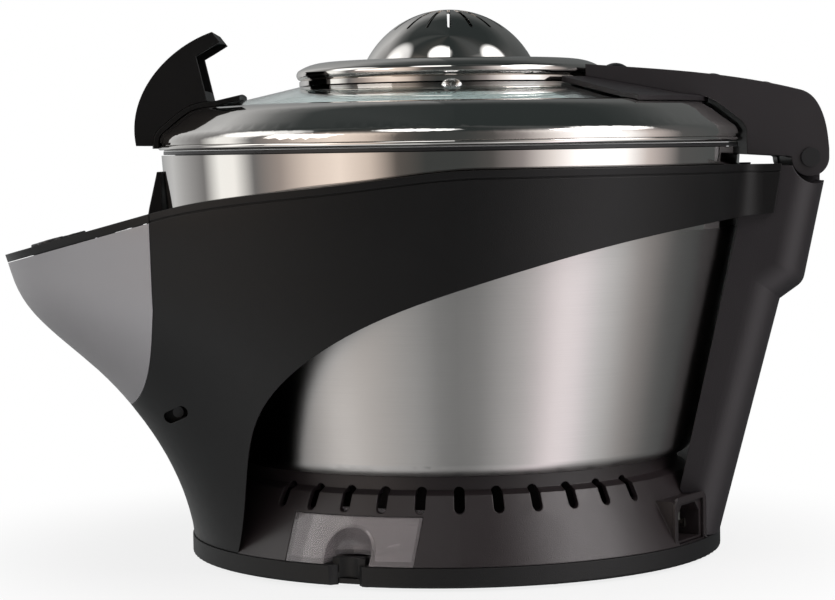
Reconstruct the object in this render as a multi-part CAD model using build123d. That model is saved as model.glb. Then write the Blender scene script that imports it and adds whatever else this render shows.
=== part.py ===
from build123d import *
import math
import os

os.makedirs("parts", exist_ok=True)

# Multicooker with a hinged glass lid. Millimetres, +Z up, origin on the floor under the middle of the
# whole cooker. The control panel faces -Y, the hinge column stands at +Y, the drip cup and the mains
# inlet are at +X. Every piece is drawn round the pot's axis and moved back by pot_y when it is saved.

# Clearances
seat_gap = 0.3          # between pieces that seat on each other
slide_gap = 0.4         # round the drip cup and the push buttons
pin_gap = 0.06          # radial, hinge pin in its lug
pot_clearance = 3.6     # between the pot shell and the housing round it
column_clearance = 5.0  # between the pot shell and the rear column

# Base
base_r = 132.0
foot_lift = 1.5         # how far the rubber feet hold the base ring off the floor
seam_z = 10.7           # top of the base ring
ring_wall = 4.0
skirt_wall = 3.0
shoulder_r = 115.5
shoulder_z = 41.5
shoulder_fillet = 3.0
neck_r = 111.0
plate_wall = 2.4
foot_r = 9.0
foot_ring_r = 112.0
slot_count = 11         # vent slots on each side of the skirt
slot_pitch = 8.8        # degrees
slot_w = 5.0
slot_low_z = 33.5
slot_high_z = 45.0

# Pot shell, a brushed cone under a polished band
pot_foot_z = 50.0
pot_foot_r = 118.0
pot_foot_fillet = 7.0
cone_top_z = 160.0
cone_top_r = 141.0
band_top_z = 198.5
band_top_r = 143.4
shell_wall = 1.2

# Cooking pot inside the shell
pot_gap = 5.5           # air gap between the cooking pot and the shell
pot_wall = 2.0
pot_bottom_z = 62.0
pot_corner = 14.0
flange_r = 142.4
flange_t = 1.8
flange_z = band_top_z + seat_gap
element_hole_r = 90.0

# Lid
lid_gap = 0.5           # between the pot's flange and the lid's bead
bead_r = 1.3
rim_r = 145.0
rim_wall = 1.2
rim_rise = 20.4         # from the bead's foot to the lip that carries the glass
glass_r = 117.5
glass_t = 4.0
glass_slope = 0.226
hub_r = 76.0            # top ring
hub_rise = 12.0         # from the glass to the top of the ring
hub_hole_r = 62.0
ring_plate_t = 1.6
nut_w = 5.0
nut_h = 3.5
dome_r = 46.5
dome_foot_r = 41.6
dome_wall = 0.9
dome_slots = 16
dome_slot_w = 1.7
dome_slot_in_r = 8.0
dome_slot_out_r = 29.0

# Housing round the pot
housing_wall = 3.0
side_flare = 0.106      # the sides lean out by this much per millimetre of height
tail_half = 57.0        # half the width over the wings where they end on the column
tail_turn = 62.0        # degrees round the pot where a wing leaves the circle
tail_y = 148.0
wing_top_z = 190.0
wing_end_y = 157.2
wing_end_lean = 4.1
seam_y = -138.3
panel_tip_y = -222.0
panel_tip_z = 150.6
panel_slope = 0.2619
frame_t = 4.0           # thickness of the control panel's frame
lip_drop = 3.3          # trim line under the wing's top edge
lip_line = 0.8
lip_depth = 0.6
half_seam = 0.15        # half the seam between the left and right wing

tail_end_y = 190.0
wing_level_y = 15.0
nose_levels = [(8, 131.2), (24, 133.8), (40, 139.4), (58, 148.8), (76, 161.4), (94, 178.0), (112, 198.6),
               (124, 210.2), (138, 218.0), (150, 221.8), (173, 223.4), (196, 224.0)]
recess_floor_x = 66.0   # screw recess in the front post of each wing
recess_floor_t = 4.0
recess_wall = 1.6
recess_y = -132.0
recess_z = 77.0
recess_lean = 28.0
recess_l = 14.0
recess_w = 6.0

# Control panel
panel_margin = 9.0
panel_recess = 1.4
overlay_t = 1.2
display_w = 56.0
display_d = 24.0
display_y = -178.0
button_r = 6.5
button_pitch = 20.0
button_inset = 19.0
button_rise = 1.3
button_h = 9.0
button_travel = 1.0
button_collar = 1.5
button_collar_t = 1.2
switch_gap = 0.2
switch_r = 2.5
button_names = ["minus", "menu", "start", "stop", "plus"]
board_drop = 12.0
board_t = 1.6
board_margin = 8.0
panel_posts = [(-72, -165), (-40, -176), (40, -176), (72, -165)]
panel_post_r = 3.0
guard_half = 20.0
guard_t = 4.0
guard_top_z = 190.5

# Rear column and hinge
hinge_y = 174.8
hinge_z = 192.7
pin_r = 3.0
cap_r = 4.6
knuckle_r = 9.4
saddle_r = 12.6         # hollow in the column's top round the arm's knuckle
lug_half = 16.0
lug_r = 8.6
arm_half_rear = 31.0    # at the hinge
arm_half_front = 45.0
arm_front_y = 58.0
cheek_gap = 0.5
column_wall = 3.2
column_round = 18.0
strap_half = 14.0
strap_t = 2.0
strap_low_z = 60.0
strap_high_z = 172.0

# Drip cup
cup_turn = -23.5        # degrees round from +X, towards the front
cup_w = 64.0
cup_low_z = 11.2
cup_high_z = 32.0
cup_depth = 40.0
cup_wall = 1.8
scoop_r = 11.6
scoop_z = 17.6
rail_w = 16.4           # rib of the base ring that guides the cup
rail_top_z = 13.9

# Mains inlet
inlet_turn = 58.6       # degrees round from +X, towards the rear
inlet_face_r = 128.5
inlet_w = 34.0
inlet_high_z = 32.0
socket_w = 24.2
socket_h = 16.6
socket_chamfer = 4.6
socket_depth = 16.0
socket_z = 20.8

# Front lid handle
handle_half = 27.0
handle_wall = 3.2
handle_foot_h = 5.0
saddle_t = 2.4
bracket_t = 2.2
bracket_span = 48.0
bracket_out_r = 128.0
stud_spots = [(-29.0, 81.0), (29.0, 81.0), (0.0, 132.0), (0.0, 158.0)]
stud_r = 5.5
stud_rise = 1.9
stud_stem_r = 2.5
stud_stem_l = 3.0

# Inside the base
plate_low_z = 2.0
plate_top_z = plate_low_z + plate_wall
foot_stem_r = 3.0
corner_turns = [20, 160, 200, 340]
foot_turns = [45, 135, 225, 315]
power_board_z = 10.0
board_x = -38.0
board_y = 0.0
board_posts = [(-68, -20), (-68, 20), (-8, -20), (-8, 20)]
notch_r = 124.5
notch_z = 18.5
socket_body_w = 28.0
socket_body_h = 19.0
blade_w = 2.0
blade_t = 4.0
pin_spots = [(-7.0, -2.0), (7.0, -2.0), (0.0, 2.0)]
shield_r = 88.0
shield_z = 27.0
heater_r = 80.0
heater_low_z = 56.5
heater_top_z = pot_bottom_z - seat_gap
element_r = 3.6
element_ring_r = 62.0
sensor_r = 11.0
sensor_stem_r = 4.0
column_top_z = 189.0


def revolved(*points):
    return revolve(Plane.XZ * make_face(Polyline(*points, close=True)), Axis.Z)


def revolved_face(face):
    return revolve(Plane.XZ * face, Axis.Z)


def side_prism(edges, half=320.0):
    return extrude(Plane.YZ * make_face(edges), amount=half, both=True)


def side_polygon(*points, half=320.0):
    return side_prism(Polyline(*points, close=True), half)


def turned_block(turn, near_r, far_r, width, low_z, high_z):
    block = Box(far_r - near_r, width, high_z - low_z)
    return Rot(0, 0, turn) * Pos((near_r + far_r) / 2, 0, (low_z + high_z) / 2) * block


def disc(radius, low_z, high_z):
    return Pos(0, 0, (low_z + high_z) / 2) * Cylinder(radius, high_z - low_z)


def ring(outer_r, inner_r, low_z, high_z):
    return disc(outer_r, low_z, high_z) - disc(inner_r, low_z, high_z)


def polar(radius, turn):
    return radius * math.cos(math.radians(turn)), radius * math.sin(math.radians(turn))


def group(solids):
    return Compound(children=[s for shape in solids for s in shape.solids()])


def mirrored(shape):
    return mirror(shape, Plane.YZ)


def save(shape, node):
    pot_y = -(panel_tip_y + hinge_y + knuckle_r) / 2
    export_step(Pos(0, pot_y, 0) * shape, f"parts/{node}.step")


# Pot shell and cooking pot

def pot_radius(z):
    if z < cone_top_z:
        return pot_foot_r + (z - pot_foot_z) * (cone_top_r - pot_foot_r) / (cone_top_z - pot_foot_z)
    return cone_top_r + (z - cone_top_z) * (band_top_r - cone_top_r) / (band_top_z - cone_top_z)


def pot_envelope(clearance, low_z=0.0, high_z=260.0):
    return revolved(
        (0, low_z),
        (pot_radius(low_z) + clearance, low_z),
        (pot_radius(cone_top_z) + clearance, cone_top_z),
        (pot_radius(band_top_z) + clearance, band_top_z),
        (pot_radius(band_top_z) + clearance, high_z),
        (0, high_z),
    )


def vessel(inset, low_z, corner, top_z, hole_r):
    """Solid of revolution inside the pot's outline, moved in by inset, with a rounded foot."""
    foot_r = pot_radius(low_z) - inset
    face = make_face(Polyline(
        (hole_r, low_z),
        (foot_r, low_z),
        (pot_radius(cone_top_z) - inset, cone_top_z),
        (pot_radius(top_z) - inset, top_z),
        (hole_r, top_z),
        close=True,
    ))
    foot = [v for v in face.vertices() if abs(v.X - foot_r) < 0.01 and abs(v.Y - low_z) < 0.01]
    return revolved_face(fillet(foot, corner))


def pot_shell():
    outer = vessel(0, pot_foot_z, pot_foot_fillet, band_top_z, element_hole_r)
    hollow = vessel(shell_wall, pot_foot_z + shell_wall, pot_foot_fillet - shell_wall,
                    band_top_z - shell_wall, 0.0)
    mouth = disc(band_top_r - pot_gap + seat_gap, band_top_z - 2 * shell_wall, band_top_z + 1)
    return outer - hollow - mouth


def cooking_pot():
    wall_inset = shell_wall + pot_gap
    outer = vessel(wall_inset, pot_bottom_z, pot_corner, flange_z, 0.0)
    flange = disc(flange_r, flange_z, flange_z + flange_t)
    lip = disc(pot_radius(flange_z) - wall_inset, flange_z - 1, flange_z + flange_t)
    hollow = vessel(wall_inset + pot_wall, pot_bottom_z + pot_wall, pot_corner - pot_wall, flange_z, 0.0)
    mouth = disc(pot_radius(flange_z) - wall_inset - pot_wall, flange_z - 1, flange_z + flange_t + 1)
    return outer + flange + lip - hollow - mouth


# Housing: one lofted skin round the pot, cut by side-view outlines into its mouldings

def nose_reach(z):
    """How far the housing reaches forward at height z."""
    for (low, low_reach), (high, high_reach) in zip(nose_levels, nose_levels[1:]):
        if z <= high:
            return low_reach + (high_reach - low_reach) * (z - low) / (high - low)
    return nose_levels[-1][1]


def side_reach(z):
    return base_r + (z - seam_z) * side_flare


def housing_section(z, inset):
    front = nose_reach(z) - inset
    half = side_reach(z) - inset
    tail = tail_half - inset
    turn_x, turn_y = polar(half, tail_turn)
    turn_dir = (-math.sin(math.radians(tail_turn)), math.cos(math.radians(tail_turn)))
    nose = EllipticalCenterArc((0, 0), half, front, start_angle=180, arc_size=180)
    side = CenterArc((0, 0), half, 0, tail_turn)
    sweep_in = Spline((turn_x, turn_y), (tail, tail_y), tangents=(turn_dir, (0, 1)))
    straight = Line((tail, tail_y), (tail, tail_end_y))
    back = Line((tail, tail_end_y), (-tail, tail_end_y))
    left = [mirror(edge, Plane.YZ) for edge in (side, sweep_in, straight)]
    face = make_face([nose, side, sweep_in, straight, back] + left)
    return Plane.XY.offset(z) * face


def housing_block(inset):
    return loft([housing_section(z, inset) for z, reach in nose_levels])


def panel_z(y):
    return panel_tip_z + (y - panel_tip_y) * panel_slope


def under_top(drop):
    """Everything below the housing's top line, which runs up the panel and then level along the wings."""
    front_y, back_y = -260.0, 220.0
    seam_top = panel_z(seam_y)
    panel = Line((front_y, panel_z(front_y) - drop), (seam_y, seam_top - drop))
    sweep = Spline(
        (seam_y, seam_top - drop),
        (-46.5, wing_top_z - 5.2 - drop),
        (wing_level_y, wing_top_z - drop),
        tangents=((1, panel_slope), (1, 0)),
    )
    rest = Polyline(
        (wing_level_y, wing_top_z - drop),
        (back_y, wing_top_z - drop),
        (back_y, -20),
        (front_y, -20),
        (front_y, panel_z(front_y) - drop),
    )
    return side_prism([panel, sweep] + rest.edges())


def window_opening():
    """The side window below the wing: a long sweep that turns down into the front post."""
    sweep = Spline(
        (wing_end_y - wing_end_lean, 166.5),
        (84.7, 158.0),
        (5.3, 138.1),
        (-61.1, 109.9),
        (-91.2, 78.6),
        (-98.6, 44.6),
        (-104.6, 9.0),
    )
    rest = Polyline((-104.6, 9.0), (-104.6, -20), (260, -20), (260, 166.5),
                    (wing_end_y - wing_end_lean, 166.5))
    return side_prism([sweep] + rest.edges())


def front_region(gap):
    """What lies ahead of the seam between the wings and the front shell."""
    sweep = Spline((seam_y - gap, 128.0), (-140.4 - gap, 111.0), (-148.0 - gap, 88.0), (-168.0 - gap, 73.0))
    rest = Polyline((-168.0 - gap, 73.0), (-280, 60), (-280, 230), (seam_y - gap, 230), (seam_y - gap, 128.0))
    return side_prism([sweep] + rest.edges())


def behind_wing():
    return side_polygon(
        (wing_end_y, wing_top_z),
        (wing_end_y - wing_end_lean, 166.5),
        (wing_end_y - wing_end_lean - 4, 140),
        (300, 140),
        (300, 230),
        (wing_end_y + wing_end_lean, 230),
    )


def housing_parts():
    outer = housing_block(0)
    inner = housing_block(housing_wall)
    lip = housing_block(lip_depth)
    floor_cut = Pos(0, 0, seam_z + seat_gap - 50) * Box(800, 800, 100)
    bowl = pot_envelope(pot_clearance)
    body = (outer & under_top(0)) - floor_cut
    shell = body - (inner & under_top(housing_wall)) - bowl
    groove = (under_top(lip_drop) - under_top(lip_drop + lip_line)) - lip
    wings = shell - window_opening() - behind_wing() - front_region(0) - groove
    wings = wings - Pos(0, 200, 100) * Box(2 * (column_half() + seat_gap), 200, 400)
    right = wings & Pos(half_seam + 200, 0, 100) * Box(400, 600, 400)
    boss = screw_recess(recess_wall, recess_floor_x - recess_floor_t) & outer
    right = right + boss - screw_recess(0, recess_floor_x)
    right = right - turned_screw(pin_gap)
    front = (outer & front_region(seat_gap) & under_top(frame_t + seat_gap)) - inner - bowl
    frame_slab = (outer & under_top(0)) - under_top(frame_t)
    frame = (frame_slab & front_region(seat_gap)) - bowl
    return right, front, frame


def screw_recess(grow, near_x):
    """Oval well, open towards +X, for the screw that holds a wing's post to the base."""
    oval = extrude(SlotOverall(recess_l + 2 * grow, recess_w + 2 * grow, rotation=90), amount=60)
    return Pos(near_x, recess_y, recess_z) * Rot(recess_lean, 0, 0) * Rot(0, 90, 0) * oval


def turned_screw(grow):
    head = Pos(0, 0, 1.1) * Cylinder(2.6 + grow, 2.0)
    shank = Pos(0, 0, -4.9) * Cylinder(1.4 + grow, 10.0)
    return Pos(recess_floor_x, recess_y, recess_z) * Rot(0, 90, 0) * (head + shank)


# Control panel

panel_angle = math.degrees(math.atan(panel_slope))


def panel_place(x, y, rise=0.0):
    """A frame on the sloping panel above the point x, y, raised along its normal."""
    return Pos(x, y, panel_z(y)) * Rot(panel_angle, 0, 0) * Pos(0, 0, rise)


def crescent(edge_inset, bowl_inset):
    """Plan of the panel between the nose and the pot, as an upright prism."""
    front = nose_reach(panel_tip_z) - edge_inset
    half = side_reach(panel_tip_z) - edge_inset
    back_y = seam_y - seat_gap - edge_inset * 0.6
    oval = extrude(Pos(0, 0, 80) * make_face([
        EllipticalCenterArc((0, 0), half, front, start_angle=180, arc_size=180),
        Line((-half, 0), (half, 0)),
    ]), amount=160)
    bowl = disc(pot_radius(panel_tip_z) + pot_clearance + bowl_inset, 60, 260)
    behind = Pos(0, back_y + 200, 150) * Box(500, 400, 400)
    return oval - bowl - behind


def panel_sheet(drop_low, drop_high):
    """Slab that lies between two depths below the panel's top surface."""
    return under_top(drop_high) - under_top(drop_low)


def button_spots():
    for i in range(len(button_names)):
        x = (i - (len(button_names) - 1) / 2) * button_pitch
        half = side_reach(panel_tip_z)
        front = nose_reach(panel_tip_z)
        yield button_names[i], x, -front * math.sqrt(1 - (x / half) ** 2) + button_inset


def button_solid(x, y):
    stem = Pos(0, 0, button_rise - button_h / 2) * Cylinder(button_r, button_h)
    top = stem.faces().sort_by(Axis.Z)[-1]
    stem = fillet(top.edges(), 0.8)
    collar_top = -frame_t * math.cos(math.radians(panel_angle)) - seat_gap
    collar = Pos(0, 0, collar_top - button_collar_t / 2) * Cylinder(button_r + button_collar, button_collar_t)
    return panel_place(x, y) * (stem + collar)


def display_cut(margin, low, high):
    plate = Box(display_w + 2 * margin, display_d + 2 * margin, high - low)
    return panel_place(0, display_y) * Pos(0, 0, (low + high) / 2) * plate


def pot_guard():
    """Upstand of the frame that shields the pot's band between panel and lid handle."""
    inner = pot_radius(guard_top_z) + 1.0
    foot = inner + pot_clearance + guard_t
    z_foot = panel_z(-foot) - frame_t
    wedge = revolved((inner, z_foot), (foot, z_foot), (foot - 1.5, z_foot + 8), (inner + 2.0, guard_top_z),
                     (inner, guard_top_z))
    slot = Pos(0, -inner, 170) * Box(2 * guard_half, 60, 120)
    return (wedge & slot) - pot_envelope(1.0)


def panel_frame(frame):
    frame = frame - (crescent(panel_margin, panel_margin) & panel_sheet(panel_recess, -1))
    frame = frame + pot_guard()
    for name, x, y in button_spots():
        frame = frame - panel_place(x, y) * Cylinder(button_r + slide_gap, 30)
    for x, y in panel_posts:
        frame = frame + (Pos(x, y, 0) * disc(panel_post_r, 100, 250) & panel_sheet(board_drop, frame_t - 0.5))
    return frame - display_cut(seat_gap, -12, 2)


def control_panel():
    sheet = crescent(panel_margin + seat_gap, panel_margin + seat_gap) & panel_sheet(
        panel_recess - seat_gap * 0.1, panel_recess - overlay_t)
    for name, x, y in button_spots():
        sheet = sheet - panel_place(x, y) * Cylinder(button_r + slide_gap, 30)
    return sheet - display_cut(seat_gap, -12, 2)


def display_window():
    return display_cut(0, -frame_t, -0.1)


def control_board():
    """Board under the frame with a boss for each key switch."""
    outline = crescent(panel_margin + board_margin, panel_margin + board_margin)
    board = outline & panel_sheet(board_drop + board_t, board_drop)
    switch_top = button_rise - button_h - button_travel - switch_gap
    for name, x, y in button_spots():
        board = board + panel_place(x, y) * Pos(0, 0, (switch_top - board_drop) / 2) * Cylinder(
            switch_r, switch_top + board_drop)
    return board


# Base

def skirt_radius(z):
    return base_r - (z - seam_z) * (base_r - shoulder_r) / (shoulder_z - seam_z)


def skirt_solid(inset, low_z):
    """Solid under the skirt's outer surface, moved in by inset."""
    return revolved(
        (0, low_z),
        (skirt_radius(low_z) - inset, low_z),
        (shoulder_r - inset, shoulder_z),
        (neck_r - inset, shoulder_z + 2.0 - inset * 0.6),
        (neck_r - inset, pot_foot_z - seat_gap),
        (0, pot_foot_z - seat_gap),
    )


def vent_slot(turn):
    length = slot_high_z - slot_low_z
    blank = extrude(SlotOverall(length, slot_w), amount=14, both=True)
    return Rot(0, 0, turn) * Pos(shoulder_r, 0, (slot_low_z + slot_high_z) / 2) * Rot(0, 90, 0) * blank


def base_skirt():
    low = seam_z + seat_gap
    hollow = skirt_solid(skirt_wall, low) + disc(neck_r - skirt_wall, shoulder_z, pot_foot_z + 1)
    skirt = skirt_solid(0, low) + turned_block(inlet_turn, 108, inlet_face_r, inlet_w, low, inlet_high_z)
    skirt = skirt - (hollow - turned_block(inlet_turn, 108, inlet_face_r, inlet_w, low, inlet_high_z))
    for side in (0, 180):
        for i in range(slot_count):
            skirt = skirt - vent_slot(side + (i - (slot_count - 1) / 2) * slot_pitch)
    skirt = skirt - turned_block(cup_turn, 80, 150, cup_w + 2 * slide_gap, 0, cup_high_z + slide_gap)
    skirt = skirt - turned_block(inlet_turn, 100, 150, socket_body_w + 2 * seat_gap,
                                 seam_z, socket_z + socket_body_h / 2 + seat_gap)
    notch = ring(150, notch_r, 0, notch_z)
    skirt = skirt - (notch - window_opening())
    return skirt - (notch & Pos(0, 100, 0) * Box(2 * (column_half() + seat_gap), 200, 100))


def base_ring():
    band = ring(base_r, base_r - ring_wall, foot_lift, seam_z)
    edge = band.faces().sort_by(Axis.Z)[0].edges().sort_by(SortBy.LENGTH)[-1]
    band = fillet(edge, 1.2)
    ledge = ring(base_r - ring_wall + 0.5, base_r - ring_wall - 8, plate_top_z + seat_gap, plate_top_z + 3)
    rail = turned_block(cup_turn, base_r - 10.5, base_r - 4.5, rail_w, plate_top_z + seat_gap, rail_top_z)
    shape = band + ledge + rail
    for turn in corner_turns:
        x, y = polar(base_r - ring_wall - 4, turn)
        shape = shape - Pos(x, y, 0) * Cylinder(1.6, 40)
    groove = Rot(0, 0, cup_turn) * Pos(base_r + 3.2, 0, 0) * Cylinder(9.0, 40)
    return shape - groove


def bottom_plate():
    plate = disc(base_r - ring_wall - seat_gap, plate_low_z, plate_top_z)
    for turn in corner_turns:
        x, y = polar(base_r - ring_wall - 4, turn)
        plate = plate - Pos(x, y, 0) * Cylinder(1.7, 40)
    for turn in foot_turns:
        x, y = polar(foot_ring_r, turn)
        plate = plate - Pos(x, y, 0) * Cylinder(foot_stem_r + pin_gap, 40)
    for i in range(-4, 5):
        plate = plate - Pos(0, i * 9.0, 0) * extrude(SlotOverall(60, 3.6), amount=20, both=True)
    for x, y in board_posts:
        plate = plate + Pos(x, y, 0) * disc(3.0, plate_top_z, power_board_z)
    return plate


def foot(turn):
    x, y = polar(foot_ring_r, turn)
    pad = disc(foot_r, 0, plate_low_z)
    pad = fillet(pad.faces().sort_by(Axis.Z)[0].edges(), 0.6)
    return Pos(x, y, 0) * (pad + disc(foot_stem_r, plate_low_z, plate_top_z + 1.5))


def base_screw(turn):
    x, y = polar(base_r - ring_wall - 4, turn)
    return Pos(x, y, 0) * (disc(2.6, plate_low_z - 1.4, plate_low_z) + disc(1.4, plate_low_z, plate_top_z + 2.4))


# Drip cup in the skirt

def cup_block(inset, top_z):
    return turned_block(cup_turn, base_r - cup_depth + inset, 160, cup_w - 2 * inset, cup_low_z + inset, top_z)


def cup_scoop(radius):
    x, y = polar(skirt_radius(scoop_z) + 1.0, cup_turn)
    return Pos(x, y, scoop_z) * (Sphere(radius) + Pos(0, 0, -10) * Cylinder(radius, 20))


def rail_groove(grow):
    """Groove along the cup's underside that runs over the base ring's rail."""
    return turned_block(cup_turn, 60, 170, rail_w + 2 * (slide_gap + grow), 0, rail_top_z + slide_gap + grow)


def drip_cup():
    block = cup_block(0, cup_high_z) & skirt_solid(0, 5)
    hollow = cup_block(cup_wall, cup_high_z + 1) & skirt_solid(cup_wall, 5)
    hollow = hollow - cup_scoop(scoop_r + cup_wall) - rail_groove(cup_wall)
    return block - hollow - cup_scoop(scoop_r) - rail_groove(0)


def cup_tray():
    low = plate_top_z + 3.3
    outer = turned_block(cup_turn, base_r - cup_depth - 3, base_r, cup_w + 2 * slide_gap + 4, low, cup_high_z - 8)
    hollow = turned_block(cup_turn, base_r - cup_depth - slide_gap, 160, cup_w + 2 * slide_gap,
                          cup_low_z - seat_gap, cup_high_z + 10)
    relief = turned_block(cup_turn, base_r - 14, 160, rail_w + 1.0, 0, cup_low_z + 20)
    inside = disc(base_r - ring_wall - seat_gap, 0, 60)
    return (outer - hollow - relief) & skirt_solid(skirt_wall + seat_gap, 5) & inside


# Mains inlet

def socket_section(width, height, chamfer):
    half_w, half_h = width / 2, height / 2
    return make_face(Polyline(
        (-half_w, -half_h),
        (half_w, -half_h),
        (half_w, half_h - chamfer),
        (half_w - chamfer, half_h),
        (-half_w + chamfer, half_h),
        (-half_w, half_h - chamfer),
        close=True,
    ))


def inlet_place(radius):
    """Local frame on the inlet's face: x along the face, y up, z out."""
    x, y = polar(radius, inlet_turn)
    return Pos(x, y, socket_z) * Rot(0, 0, inlet_turn + 90) * Rot(90, 0, 0)


def inlet_socket():
    place = inlet_place(inlet_face_r)
    body = extrude(Rectangle(socket_body_w, socket_body_h), amount=-socket_depth - 3)
    mouth = extrude(socket_section(socket_w, socket_h, socket_chamfer), amount=-socket_depth)
    shape = body - mouth
    for x, y in pin_spots:
        shape = shape - Pos(x, y, -socket_depth) * Box(blade_w + 0.1, blade_t + 0.1, 20)
    return place * shape


def inlet_pins():
    place = inlet_place(inlet_face_r)
    blades = []
    for x, y in pin_spots:
        length = socket_depth - 5 + 9
        blades.append(place * Pos(x, y, -5 - length / 2) * Box(blade_w, blade_t, length))
    return group(blades)


# Heating and control gear inside the base

def heat_shield():
    wall = 1.0
    rim_top = pot_foot_z - 1.0
    floor = ring(shield_r, sensor_stem_r + 0.6, shield_z, shield_z + wall)
    side = ring(shield_r, shield_r - wall, shield_z, rim_top)
    flange = ring(neck_r - skirt_wall - seat_gap, shield_r - wall, rim_top - wall, rim_top)
    shape = floor + side + flange
    for turn in (30, 150, 270):
        x, y = polar(46, turn)
        shape = shape + Pos(x, y, 0) * disc(3.0, shield_z + wall, heater_low_z)
    return shape


def heater_plate():
    plate = ring(heater_r, sensor_r + 0.8, heater_low_z, heater_top_z)
    return fillet(plate.edges().filter_by(GeomType.CIRCLE).sort_by(Axis.Z)[-2:], 1.0)


def heating_element():
    loop = Pos(0, 0, heater_low_z - element_r - 0.2) * Torus(element_ring_r, element_r)
    gap = Pos(0, element_ring_r, heater_low_z) * Box(16, 30, 30)
    shape = loop - gap
    for side in (-1, 1):
        x = side * 10.0
        y = math.sqrt(element_ring_r ** 2 - x ** 2) + 1.5
        shape = shape + Pos(x, y, 0) * disc(2.4, shield_z + 3.0, heater_low_z - element_r)
    return shape


def sensor_plunger():
    cap = disc(sensor_r, heater_top_z - 3.2, pot_bottom_z - seat_gap)
    stem = disc(sensor_stem_r, shield_z - 5, heater_top_z - 3)
    collar = disc(sensor_stem_r + 2.2, shield_z - 5, shield_z - 3.4)
    return cap + stem + collar


def sensor_spring():
    turns, wire = 5, 0.6
    low, high = shield_z + 1.8, heater_top_z - 4.2
    path = Helix((high - low) / turns, high - low, sensor_stem_r + 2.0)
    profile = Plane(path @ 0, z_dir=path % 0) * Circle(wire)
    return Pos(0, 0, low) * sweep(profile, path=path, is_frenet=True)


def power_board():
    board = Pos(board_x, board_y, power_board_z + 0.8) * Box(70, 50, 1.6)
    relay = Pos(board_x - 18, board_y + 8, power_board_z + 1.6 + 5) * Box(19, 15, 10)
    choke = Pos(board_x + 14, board_y + 6, power_board_z + 1.6 + 5) * Box(16, 16, 10)
    coil = Pos(board_x + 12, board_y - 14, power_board_z + 1.6 + 4) * Cylinder(5, 8)
    return board + relay + choke + coil


# Rear column

def column_half():
    return tail_half - housing_wall - seat_gap


def column_outline(inset):
    face = make_face(Polyline(
        (95, seam_z + seat_gap),
        (128.0, seam_z + seat_gap),
        (158.4, 124.4),
        (169.8, 132.4),
        (182.0, column_top_z),
        (95, column_top_z),
        close=True,
    ))
    low_bend = [v for v in face.vertices() if abs(v.X - 158.4) < 0.01]
    high_bend = [v for v in face.vertices() if abs(v.X - 169.8) < 0.01]
    face = fillet(low_bend, 10)
    face = fillet(high_bend, 8)
    return offset(face, -inset) if inset else face


def hinge_rod(radius, half, x=0.0):
    return Pos(x, hinge_y, hinge_z) * Rot(0, 90, 0) * Cylinder(radius, 2 * half)


def column_space(inset, clearance):
    """Upright block inside the column's outline, with the pot and the skirt cut out of it."""
    block = extrude(Plane.YZ * column_outline(inset), amount=column_half() - inset, both=True)
    rear = [e for e in block.edges() if e.center().Y > 120 and abs(abs(e.center().X) - column_half() + inset) < 0.1
            and (e @ 1 - e @ 0).normalized().Z ** 2 > 0.5]
    block = fillet(rear, column_round - inset)
    lower = ring(200, 0, 0, notch_z) & disc(notch_r + seat_gap + inset, 0, notch_z)
    inlet = turned_block(inlet_turn, 90, inlet_face_r + seat_gap + inset, inlet_w + 2 * (seat_gap + inset), 0,
                         inlet_high_z + seat_gap + inset)
    return block - pot_envelope(clearance) - skirt_solid(-seat_gap - inset, notch_z) - lower - inlet


def rear_column():
    outer = column_space(0, column_clearance)
    hollow = column_space(column_wall, column_clearance + column_wall)
    hollow = hollow - hinge_rod(saddle_r + column_wall, 100)
    hollow = hollow + Pos(0, 0, -column_wall - 2) * (hollow & Pos(0, 150, 30) * Box(300, 120, 36))
    shape = outer - hollow - hinge_rod(saddle_r, 100)
    web = Pos(0, hinge_y, hinge_z - saddle_r / 2 - 2) * Box(2 * lug_half, 1.6 * lug_r, saddle_r + 4)
    lug = hinge_rod(lug_r, lug_half)
    return shape + web + lug - hinge_rod(pin_r + pin_gap, 100)


def column_bracket():
    """Steel strap inside the column's rear wall that carries the hinge's load down to the base."""
    inset = column_wall + seat_gap
    strap = extrude(Plane.YZ * (column_outline(inset) - column_outline(inset + strap_t)), amount=strap_half, both=True)
    rear = side_polygon((120, strap_low_z), (220, strap_low_z), (220, strap_high_z), (120, strap_high_z))
    return strap & rear


# Lid

def lid_low_z():
    return flange_z + flange_t + lid_gap


def glass_z(radius):
    """Height of the glass's upper face."""
    return lid_low_z() + rim_rise + (glass_r - radius) * glass_slope


def rim_curve(inset):
    low = lid_low_z()
    return Spline(
        (rim_r - inset, low + 3.6),
        (140.9 - inset * 0.8, low + 10.2 - inset * 0.6),
        (130.8 - inset * 0.5, low + 18.0 - inset * 0.85),
        (glass_r + 1.0, low + rim_rise + 0.4 - inset),
        tangents=((0, 1), (-1, 0.06)),
    )


def lid_envelope(gap):
    """Solid under the lid's outer surface, grown by gap."""
    low = lid_low_z()
    curve = rim_curve(-gap)
    start, end = curve @ 0, curve @ 1
    rest = Polyline(
        (end.X, end.Y),
        (hub_r + gap, glass_z(hub_r) + gap),
        (hub_r + gap, hub_top_z() + 6),
        (0, hub_top_z() + 6),
        (0, low - 12),
        (start.X, low - 12),
        (start.X, start.Y),
    )
    return revolved_face(make_face([curve] + rest.edges()))


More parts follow.
